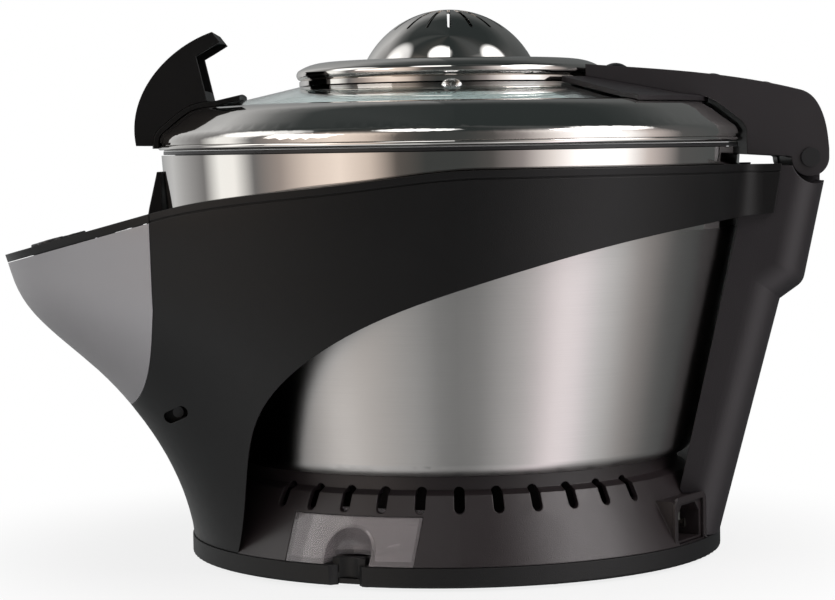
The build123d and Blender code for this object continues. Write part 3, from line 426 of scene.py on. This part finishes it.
metals = {
    "brushedShell": {"colour": (0.50, 0.485, 0.475), "roughness": 0.30, "lines": 2600.0, "stretch": 3.0,
                     "bump": 0.06, "mottle": 0.16, "anisotropic": 0.88},
    "polishedSteel": {"colour": (0.74, 0.715, 0.69), "roughness": 0.045, "lines": 900.0, "stretch": 6.0,
                      "bump": 0.0, "mottle": 0.03, "anisotropic": 0.0},
    "plainSteel": {"colour": (0.55, 0.54, 0.53), "roughness": 0.35, "lines": 1500.0, "stretch": 40.0,
                   "bump": 0.04, "mottle": 0.10, "anisotropic": 0.0},
    "darkScrew": {"colour": (0.12, 0.12, 0.125), "roughness": 0.32, "lines": 1500.0, "stretch": 40.0,
                  "bump": 0.03, "mottle": 0.10, "anisotropic": 0.0},
    # painted shade: steel made nearly black so the vent slots in front of it read as dark recesses
    "slotShadeSteel": {"colour": (0.030, 0.028, 0.028), "roughness": 0.60, "lines": 1500.0, "stretch": 40.0,
                   "bump": 0.04, "mottle": 0.10, "anisotropic": 0.0},
    "castAluminium": {"colour": (0.60, 0.60, 0.60), "roughness": 0.42, "lines": 700.0, "stretch": 8.0,
                      "bump": 0.06, "mottle": 0.10, "anisotropic": 0.0},
    "brightPin": {"colour": (0.86, 0.84, 0.78), "roughness": 0.16, "lines": 900.0, "stretch": 30.0,
                  "bump": 0.0, "mottle": 0.04, "anisotropic": 0.0},
}

clears = {
    "lidGlass": {"colour": (0.86, 0.965, 0.95), "roughness": 0.01, "ior": 1.45},
    "cupClear": {"colour": (0.74, 0.69, 0.70), "roughness": 0.05, "ior": 1.46, "transmission": 0.80},
    "stopClear": {"colour": (0.95, 0.97, 0.97), "roughness": 0.04, "ior": 1.46},
}

surface = {"mottle": 0.16, "wear": 0.10, "gain": 4, "grainDepth": 0.0004, "lineDepth": 0.0002, "edge": 0.0007,
           "edgeSamples": 4, "polishedBelow": 0.2, "acrossLines": 0.25, "seam": 0.160}
smudges = {"metal": {"Amount": 0.10, "Size": 16.0}, "clear": {"Amount": 0.05, "Size": 22.0}}


def startMaterial(name):
    paint = bpy.data.materials.new(name)
    paint.use_nodes = True
    return paint, paint.node_tree, paint.node_tree.nodes["Principled BSDF"]


def tintNode(tree, colour, shade):
    mix = tree.nodes.new("ShaderNodeVectorMath")
    mix.operation = "SCALE"
    mix.inputs[0].default_value = colour
    tree.links.new(shade, mix.inputs["Scale"])
    return mix.outputs[0]


def bumpNode(tree, height, strength, distance):
    bump = tree.nodes.new("ShaderNodeBump")
    bump.inputs["Strength"].default_value = strength
    bump.inputs["Distance"].default_value = distance
    tree.links.new(height, bump.inputs["Height"])
    return bump.outputs["Normal"]


def makeFinish(name, values):
    paint, tree, shader = startMaterial(name)
    grain = placeGroup(tree, "mould", {"Grain": values["grain"], "Mottle": surface["mottle"],
                                       "Wear": surface["wear"]})
    tree.links.new(tintNode(tree, values["colour"], grain.outputs["Shade"]), shader.inputs["Base Color"])
    rough = mathNode(tree, "ADD", grain.outputs["Rough"], values["roughness"], clamp=True)
    tree.links.new(rough, shader.inputs["Roughness"])
    bevel = tree.nodes.new("ShaderNodeBevel")  # moulded edges are slightly rounded
    bevel.samples = surface["edgeSamples"]
    bevel.inputs["Radius"].default_value = values.get("edge", surface["edge"])
    bump = bumpNode(tree, grain.outputs["Height"], values["bump"] * surface["gain"], surface["grainDepth"])
    tree.links.new(bevel.outputs[0], bump.node.inputs["Normal"])
    tree.links.new(bump, shader.inputs["Normal"])
    shader.inputs["Specular IOR Level"].default_value = values["specular"]
    shader.inputs["Metallic"].default_value = values.get("metallic", 0.0)
    return paint


def metalShader(tree, shader, values):
    lines = placeGroup(tree, "brushed", {"Lines": values["lines"], "Stretch": values["stretch"],
                                         "Mottle": values["mottle"]})
    smudge = placeGroup(tree, "smudge", smudges["metal"])
    tree.links.new(tintNode(tree, values["colour"], lines.outputs["Shade"]), shader.inputs["Base Color"])
    rough = values["roughness"]
    if rough > surface["polishedBelow"]:
        rough = mathNode(tree, "ADD", lines.outputs["Rough"], rough)
    rough = mathNode(tree, "ADD", rough, smudge.outputs["Rough"], clamp=True)
    tree.links.new(rough, shader.inputs["Roughness"])
    if values["bump"]:
        strength = values["bump"] * surface["gain"]
        bump = bumpNode(tree, lines.outputs["Height"], strength, surface["lineDepth"])
        tree.links.new(bump, shader.inputs["Normal"])
    shader.inputs["Metallic"].default_value = 1.0
    if values["anisotropic"]:
        shader.inputs["Anisotropic"].default_value = values["anisotropic"]
        # light runs across the brushed lines
        shader.inputs["Anisotropic Rotation"].default_value = surface["acrossLines"]
        tangent = tree.nodes.new("ShaderNodeTangent")
        tangent.direction_type = "RADIAL"
        tangent.axis = "Z"
        tree.links.new(tangent.outputs[0], shader.inputs["Tangent"])


def makeMetal(name, values):
    paint, tree, shader = startMaterial(name)
    metalShader(tree, shader, values)
    return paint


def makeBandedMetal(name, lowValues, highValues, seam):
    # brushed below the seam, polished above it
    paint, tree, shader = startMaterial(name)
    metalShader(tree, shader, lowValues)
    upper = tree.nodes.new("ShaderNodeBsdfPrincipled")
    metalShader(tree, upper, highValues)
    split = tree.nodes.new("ShaderNodeSeparateXYZ")
    tree.links.new(tree.nodes.new("ShaderNodeTexCoord").outputs["Object"], split.inputs[0])
    above = mathNode(tree, "GREATER_THAN", split.outputs["Z"], seam)
    both = tree.nodes.new("ShaderNodeMixShader")
    tree.links.new(above, both.inputs["Fac"])
    tree.links.new(shader.outputs[0], both.inputs[1])
    tree.links.new(upper.outputs[0], both.inputs[2])
    tree.links.new(both.outputs[0], tree.nodes["Material Output"].inputs["Surface"])
    return paint


def makeClear(name, values):
    paint, tree, shader = startMaterial(name)
    smudge = placeGroup(tree, "smudge", smudges["clear"])
    tint = tintNode(tree, values["colour"], smudge.outputs["Shade"])
    rough = mathNode(tree, "ADD", smudge.outputs["Rough"], values["roughness"])
    tree.links.new(tint, shader.inputs["Base Color"])
    tree.links.new(rough, shader.inputs["Roughness"])
    shader.inputs["Transmission Weight"].default_value = values.get("transmission", 1.0)
    shader.inputs["IOR"].default_value = values["ior"]
    return paint


paints = {}
for name, values in finishes.items():
    paints[name] = makeFinish(name, values)
for name, values in metals.items():
    paints[name] = makeMetal(name, values)
paints["pressedShell"] = makeBandedMetal("pressedShell", metals["brushedShell"], metals["polishedSteel"],
                                         surface["seam"])
for name, values in clears.items():
    paints[name] = makeClear(name, values)

nodeFinish = {
    "satinBlack": ["wing_right", "wing_left", "panel_frame", "lid_handle", "handle_saddle"],
    # the rear column takes the black with painted sheen
    "columnBlackPaintedSheen": ["rear_column"],
    # the skirt and the inlet take the black with painted sheen
    "baseBlackPaintedSheen": ["base_skirt", "inlet_socket"],
    "ringBlack": ["base_ring", "bottom_plate", "cup_tray", "hub_nut"],
    # the lid arm and bracket take the black with painted sheen
    "armBlackPaintedSheen": ["lid_arm", "lid_bracket"],
    "glossBlack": ["control_panel", "display_window"],
    "keyBlack": ["button_minus", "button_menu", "button_start", "button_stop", "button_plus"],
    "silverPaint": ["front_shell"],
    "boardGreen": ["control_board", "power_board"],
    "siliconeGrey": ["lid_gasket"],
    "footRubber": ["feet"],
    "potCoating": ["cooking_pot"],
    "pressedShell": ["pot_shell"],
    "polishedSteel": ["lid_rim", "top_ring", "vent_dome"],
    "plainSteel": ["heating_element", "steam_baffle", "column_bracket", "sensor_spring", "hinge_pin"],
    # the heat shield behind the vent slots carries the painted shade
    "slotShadeSteel": ["heat_shield"],
    "darkScrew": ["wing_screws", "base_screws", "arm_studs", "pin_caps"],
    "castAluminium": ["heater_plate", "sensor_plunger"],
    "brightPin": ["inlet_pins"],
    "lidGlass": ["lid_glass"],
    "cupClear": ["drip_cup"],
    "stopClear": ["glass_rivets"],
}
for finish, members in nodeFinish.items():
    for name in members:
        slots = nodes[name].data.materials
        slots.clear()
        slots.append(paints[finish])
print("finishes given to", sum(len(members) for members in nodeFinish.values()), "nodes")


# Pieces built here

def closeShape(shape, name):
    bmesh.ops.recalc_face_normals(shape, faces=shape.faces)
    mesh = bpy.data.meshes.new(name)
    shape.to_mesh(mesh)
    shape.free()
    return mesh


def linkPiece(mesh, name, material, body, smooth=True):
    mesh.name = name
    mesh.materials.clear()
    mesh.materials.append(paints[material])
    for face in mesh.polygons:
        face.use_smooth = smooth
        face.material_index = 0
    piece = bpy.data.objects.new(name, mesh)
    bpy.context.scene.collection.objects.link(piece)
    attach(piece, body)


def startTree(name, inputs):
    tree = bpy.data.node_groups.new(name, "GeometryNodeTree")
    tree.interface.new_socket(name="Geometry", in_out="INPUT", socket_type="NodeSocketGeometry")
    for label, value in inputs.items():
        socket = tree.interface.new_socket(name=label, in_out="INPUT", socket_type="NodeSocketFloat")
        socket.default_value = value
    tree.interface.new_socket(name="Geometry", in_out="OUTPUT", socket_type="NodeSocketGeometry")
    return tree, tree.nodes.new("NodeGroupInput"), tree.nodes.new("NodeGroupOutput")


def endTree(tree, geometry, end, material):
    real = tree.nodes.new("GeometryNodeRealizeInstances")
    paint = tree.nodes.new("GeometryNodeSetMaterial")
    paint.inputs["Material"].default_value = paints[material]
    tree.links.new(geometry, real.inputs[0])
    tree.links.new(real.outputs[0], paint.inputs[0])
    tree.links.new(paint.outputs[0], end.inputs[0])


def runTree(name, tree, values, body, material, smooth=True):
    seed = bpy.data.objects.new(name + "Seed", bpy.data.meshes.new(name + "Seed"))
    bpy.context.scene.collection.objects.link(seed)
    modifier = seed.modifiers.new("grow", "NODES")
    modifier.node_group = tree
    for item in tree.interface.items_tree:
        if item.in_out == "INPUT" and item.name in values:
            modifier[item.identifier] = float(values[item.name])
    graph = bpy.context.evaluated_depsgraph_get()
    mesh = bpy.data.meshes.new_from_object(seed.evaluated_get(graph))
    bpy.data.objects.remove(seed)
    linkPiece(mesh, name, material, body, smooth)


keySymbols = {
    "panelTipY": -222.0, "panelTipZ": 150.6, "slope": 0.2619,
    "halfWidth": 146.83, "reach": 221.87, "inset": 19.0, "pitch": 20.0, "middle": 2, "rise": 1.3,
    "thickness": 0.12, "sink": 0.02, "stroke": 1.0, "size": 5.2,
    # the start key's arrow and the stop key's square as parts of half the size, and the menu key's row pitch
    "arrowBack": 0.6, "arrowSide": 0.85, "arrowTip": 0.95, "square": 1.5, "rowPitch": 1.9,
}


def panelPlace(x, y, rise):
    values = keySymbols
    lift = values["panelTipZ"] + (y - values["panelTipY"]) * values["slope"]
    spot = metres(x, y, lift) + potCentre
    turn = Matrix.Rotation(math.atan(values["slope"]), 4, "X")
    return Matrix.Translation(spot) @ turn @ Matrix.Translation(metres(0, 0, rise))


def keySpot(index):
    values = keySymbols
    x = (index - values["middle"]) * values["pitch"]
    return x, -values["reach"] * math.sqrt(1 - (x / values["halfWidth"]) ** 2) + values["inset"]


def inlay(name, outlines, place, thickness, material, body):
    shape = bmesh.new()
    for outline in outlines:
        low = [shape.verts.new(place @ metres(x, y, 0)) for x, y in outline]
        high = [shape.verts.new(place @ metres(x, y, thickness)) for x, y in outline]
        shape.faces.new(list(reversed(low)))
        shape.faces.new(high)
        count = len(outline)
        for k in range(count):
            shape.faces.new((low[k], low[(k + 1) % count], high[(k + 1) % count], high[k]))
    linkPiece(closeShape(shape, name), name, material, body, smooth=False)


def bar(x, y, width, height):
    return [(x - width / 2, y - height / 2), (x + width / 2, y - height / 2),
            (x + width / 2, y + height / 2), (x - width / 2, y + height / 2)]


def keyOutlines():
    half, line, pitch = keySymbols["size"] / 2, keySymbols["stroke"], keySymbols["rowPitch"]
    back, side, tip = (half * keySymbols[part] for part in ("arrowBack", "arrowSide", "arrowTip"))
    square = keySymbols["square"] * half
    return {
        "minus": [bar(0, 0, 2 * half, line)],
        "menu": [bar(0, row * pitch, 2 * half, line) for row in (-1, 0, 1)],
        "start": [[(-back, -side), (tip, 0), (-back, side)]],
        "stop": [bar(0, 0, square, square)],
        "plus": [bar(0, 0, 2 * half, line), bar(0, half / 2 + line / 4, line, half - line / 2),
                 bar(0, -half / 2 - line / 4, line, half - line / 2)],
    }


for index, (key, outlines) in enumerate(keyOutlines().items()):
    x, y = keySpot(index)
    place = panelPlace(x, y, keySymbols["rise"] - keySymbols["sink"])
    inlay("symbol_" + key, outlines, place, keySymbols["thickness"], "symbolWhite", "key_" + key)
print("key symbols are on")


# A raised frame round the mains inlet

inletFrame = {"turn": 58.6, "radius": 128.5, "height": 20.8, "width": 34.4, "tall": 25.6, "corner": 5.0,
              "openWidth": 28.4, "openTall": 19.4, "openCorner": 1.2, "thickness": 1.5, "sink": 0.1}


def archOutline(width, tall, corner, steps=6):
    # rectangle whose two upper corners are rounded
    points = [(-width / 2, -tall / 2), (width / 2, -tall / 2)]
    for side, first in ((1, 0), (-1, 90)):
        for k in range(steps + 1):
            turn = math.radians(first + 90 * k / steps)
            points.append((side * (width / 2 - corner) + corner * math.cos(turn),
                           tall / 2 - corner + corner * math.sin(turn)))
    return points


def frameMesh(name, outer, inner, place, low, high):
    shape = bmesh.new()
    loops = [[shape.verts.new(place @ metres(x, y, z)) for x, y in outline]
             for outline, z in ((outer, low), (outer, high), (inner, high), (inner, low))]
    count = len(outer)
    for first, second in zip(loops, loops[1:] + loops[:1]):
        for k in range(count):
            shape.faces.new((first[k], first[(k + 1) % count], second[(k + 1) % count], second[k]))
    return closeShape(shape, name)


def makeInletFrame(values):
    turn = math.radians(values["turn"])
    out = Vector((math.cos(turn), math.sin(turn), 0))
    across = Vector((-math.sin(turn), math.cos(turn), 0))
    spot = out * values["radius"] / 1000 + potCentre + metres(0, 0, values["height"])
    place = Matrix.Translation(spot) @ Matrix((across, Vector((0, 0, 1)), out)).transposed().to_4x4()
    outer = archOutline(values["width"], values["tall"], values["corner"])
    inner = archOutline(values["openWidth"], values["openTall"], values["openCorner"])
    mesh = frameMesh("inletFrame", outer, inner, place, -values["sink"], values["thickness"])
    # the inlet frame takes the black with painted sheen
    linkPiece(mesh, "inletFrame", "baseBlackPaintedSheen", "cooker", smooth=False)


makeInletFrame(inletFrame)


# Level marks inside the cooking pot, a ladder of short bars that follows the wall's slope

levelMarks = {"Count": 7, "Low": 0.085, "Step": 0.014, "Radius": 0.1162, "Slope": 0.2091, "Width": 0.012,
              "Height": 0.0009, "Depth": 0.0006}


def makeLevelMarks(values):
    tree, start, end = startTree("levelMarks", values)
    link = tree.links.new
    ladder = tree.nodes.new("GeometryNodeMeshLine")
    first = tree.nodes.new("ShaderNodeCombineXYZ")
    step = tree.nodes.new("ShaderNodeCombineXYZ")
    link(start.outputs["Count"], ladder.inputs["Count"])
    link(start.outputs["Radius"], first.inputs["X"])
    first.inputs["Y"].default_value = potY
    link(start.outputs["Low"], first.inputs["Z"])
    link(mathNode(tree, "MULTIPLY", start.outputs["Step"], start.outputs["Slope"]), step.inputs["X"])
    link(start.outputs["Step"], step.inputs["Z"])
    link(first.outputs[0], ladder.inputs["Start Location"])
    link(step.outputs[0], ladder.inputs["Offset"])
    size = tree.nodes.new("ShaderNodeCombineXYZ")
    link(start.outputs["Depth"], size.inputs["X"])
    link(start.outputs["Width"], size.inputs["Y"])
    link(start.outputs["Height"], size.inputs["Z"])
    block = tree.nodes.new("GeometryNodeMeshCube")
    link(size.outputs[0], block.inputs["Size"])
    spread = tree.nodes.new("GeometryNodeInstanceOnPoints")
    link(ladder.outputs[0], spread.inputs["Points"])
    link(block.outputs[0], spread.inputs["Instance"])
    endTree(tree, spread.outputs[0], end, "symbolWhite")
    runTree("levelMarks", tree, values, "cooker", "symbolWhite", smooth=False)


makeLevelMarks(levelMarks)
print("inlet frame and level marks are in")


# The green edge of the glass, a fine line inside the rim's lip

glassEdge = {"outer": 117.7, "inner": 116.4, "top": 221.62, "thick": 0.9, "slope": 0.226, "steps": 192}


def ringMesh(name, profile, steps):
    # a closed band turned round the pot's axis, from a profile of radius and height in millimetres
    shape = bmesh.new()
    rows = []
    for k in range(steps):
        turn = 2 * math.pi * k / steps
        rows.append([shape.verts.new(metres(r * math.cos(turn), r * math.sin(turn), z) + potCentre)
                     for r, z in profile])
    for k in range(steps):
        first, second = rows[k], rows[(k + 1) % steps]
        for n in range(len(profile)):
            m = (n + 1) % len(profile)
            shape.faces.new((first[n], second[n], second[m], first[m]))
    return closeShape(shape, name)


def makeGlassEdge(values):
    high, low = values["top"], values["top"] - values["thick"]
    rise = (values["outer"] - values["inner"]) * values["slope"]
    profile = [(values["outer"], low), (values["outer"], high), (values["inner"], high + rise),
               (values["inner"], low + rise)]
    ring = ringMesh("glassEdge", profile, values["steps"])
    linkPiece(ring, "glassEdge", "greenEdge", "lid", smooth=False)


makeGlassEdge(glassEdge)
print("the glass has its green edge")
